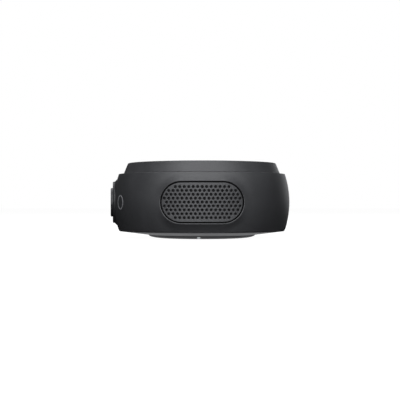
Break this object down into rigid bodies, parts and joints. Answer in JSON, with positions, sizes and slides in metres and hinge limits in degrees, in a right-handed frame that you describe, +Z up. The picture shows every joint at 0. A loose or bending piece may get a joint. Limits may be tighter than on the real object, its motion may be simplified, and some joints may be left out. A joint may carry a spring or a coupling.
{
  "type": "conference speakerphone",
  "caption": "Round tabletop conference speakerphone: ball-slice barrel, stepped cap with a disc of keys, perforated side panels, side camera and rubber ring foot.",
  "frame": {"origin": "on the table, at the middle of the rubber ring under the barrel; the barrel's axis is X = Y = 0", "axes": "+Z up; -Y towards the loudspeaker panel, which is the side first looked at; -X towards the camera, +X towards the USB socket, +Y towards the passive radiator panel"},
  "size_m": [0.1224, 0.1204, 0.0509],
  "materials": {
    "case_plastic": "fine-grained satin charcoal",
    "foot_rubber": "matt black",
    "clear_window": "smoked clear",
    "screw_steel": "zinc plated",
    "light_diffuser": "milky",
    "disc_plastic": "satin near-black",
    "key_plastic": "satin charcoal",
    "silicone": "matt grey",
    "circuit_board": "green solder mask",
    "dome_steel": "bright",
    "led_white": "white with a clear top",
    "shield_metal": "tin plated",
    "foam": "closed-cell foam",
    "grille_plastic": "satin charcoal",
    "cloth": "fine open weave",
    "inner_plastic": "as moulded",
    "surround_rubber": "matt",
    "cone_pulp": "fibrous",
    "coil_copper": "wound copper wire",
    "spider_cloth": "resin-dipped cloth",
    "motor_steel": "nickel plated",
    "magnet": "nickel-plated neodymium",
    "bezel_plastic": "semi-gloss black",
    "cover_glass": "tinted, polished",
    "lens_black": "anti-reflection black",
    "lens_glass": "coated",
    "flat_cable": "polyimide film",
    "battery_film": "laminated foil pouch"
  },
  "bodies": {
    "case": {"side_shell": "case_plastic", "bottom_cover": "case_plastic", "rubber_foot": "foot_rubber", "charge_window": "clear_window", "case_screws": "screw_steel", "top_cap": "case_plastic", "cap_screws": "screw_steel", "light_ring": "light_diffuser", "control_disc": "disc_plastic", "key_mat": "silicone", "key_board": "circuit_board", "key_board_screws": "screw_steel", "dome_switches": "dome_steel", "status_leds": "led_white", "microphones": "shield_metal", "mic_gaskets": "foam", "speaker_grille": "grille_plastic", "radiator_grille": "grille_plastic", "grille_cloths": "cloth", "foam_gaskets": "foam", "driver_frame": "inner_plastic", "driver_surround": "surround_rubber", "driver_spider": "spider_cloth", "motor_yoke": "motor_steel", "motor_magnet": "magnet", "motor_top_plate": "motor_steel", "radiator_frame": "inner_plastic", "radiator_surround": "surround_rubber", "driver_screws": "screw_steel", "chamber_body": "inner_plastic", "chamber_lid": "inner_plastic", "lid_screws": "screw_steel", "camera_bezel": "bezel_plastic", "bezel_nut": "shield_metal", "camera_glass": "cover_glass", "lens_baffle": "lens_black", "lens_barrel": "lens_black", "lens_elements": "lens_glass", "lens_holder": "inner_plastic", "image_sensor": "shield_metal", "camera_board": "circuit_board", "camera_screws": "screw_steel", "port_insert": "bezel_plastic", "main_board": "circuit_board", "board_parts": "shield_metal", "board_screws": "screw_steel", "usb_socket": "shield_metal", "flat_cables": "flat_cable", "battery_pack": "battery_film"},
    "mute_key_body": {"mute_key": "key_plastic"},
    "volume_up_key_body": {"volume_up_key": "key_plastic"},
    "volume_down_key_body": {"volume_down_key": "key_plastic"},
    "answer_key_body": {"answer_key": "key_plastic"},
    "hang_up_key_body": {"hang_up_key": "key_plastic"},
    "camera_key_body": {"camera_key": "key_plastic"},
    "power_key_body": {"power_key": "key_plastic"},
    "cone_body": {"driver_cone": "cone_pulp", "dust_cap": "cone_pulp", "voice_coil": "coil_copper"},
    "radiator_body": {"radiator_plate": "cone_pulp"}
  },
  "joints": [
    {"name": "mute_press", "type": "slide", "parent": "case", "child": "mute_key_body", "axis": [0, 0, -1], "range_m": [0, 0.0005], "stiffness_N_per_m": 4000, "deforming": ["key_mat"]},
    {"name": "volume_up_press", "type": "slide", "parent": "case", "child": "volume_up_key_body", "axis": [0, 0, -1], "range_m": [0, 0.0005], "stiffness_N_per_m": 4000, "deforming": ["key_mat"]},
    {"name": "volume_down_press", "type": "slide", "parent": "case", "child": "volume_down_key_body", "axis": [0, 0, -1], "range_m": [0, 0.0005], "stiffness_N_per_m": 4000, "deforming": ["key_mat"]},
    {"name": "answer_press", "type": "slide", "parent": "case", "child": "answer_key_body", "axis": [0, 0, -1], "range_m": [0, 0.0005], "stiffness_N_per_m": 4000, "deforming": ["key_mat"]},
    {"name": "hang_up_press", "type": "slide", "parent": "case", "child": "hang_up_key_body", "axis": [0, 0, -1], "range_m": [0, 0.0005], "stiffness_N_per_m": 4000, "deforming": ["key_mat"]},
    {"name": "camera_press", "type": "slide", "parent": "case", "child": "camera_key_body", "axis": [0, 0, -1], "range_m": [0, 0.0005], "stiffness_N_per_m": 4000, "deforming": ["key_mat"]},
    {"name": "power_press", "type": "slide", "parent": "case", "child": "power_key_body", "axis": [0, 0, -1], "range_m": [0, 0.0005], "stiffness_N_per_m": 4000, "deforming": ["key_mat"]},
    {"name": "cone_stroke", "type": "slide", "parent": "case", "child": "cone_body", "axis": [0, -1, 0], "range_m": [-0.0012, 0.0012], "stiffness_N_per_m": 1500, "deforming": ["driver_surround", "driver_spider"]},
    {"name": "radiator_stroke", "type": "slide", "parent": "case", "child": "radiator_body", "axis": [0, 1, 0], "range_m": [-0.0012, 0.0012], "stiffness_N_per_m": 800, "deforming": ["radiator_surround"]}
  ]
}
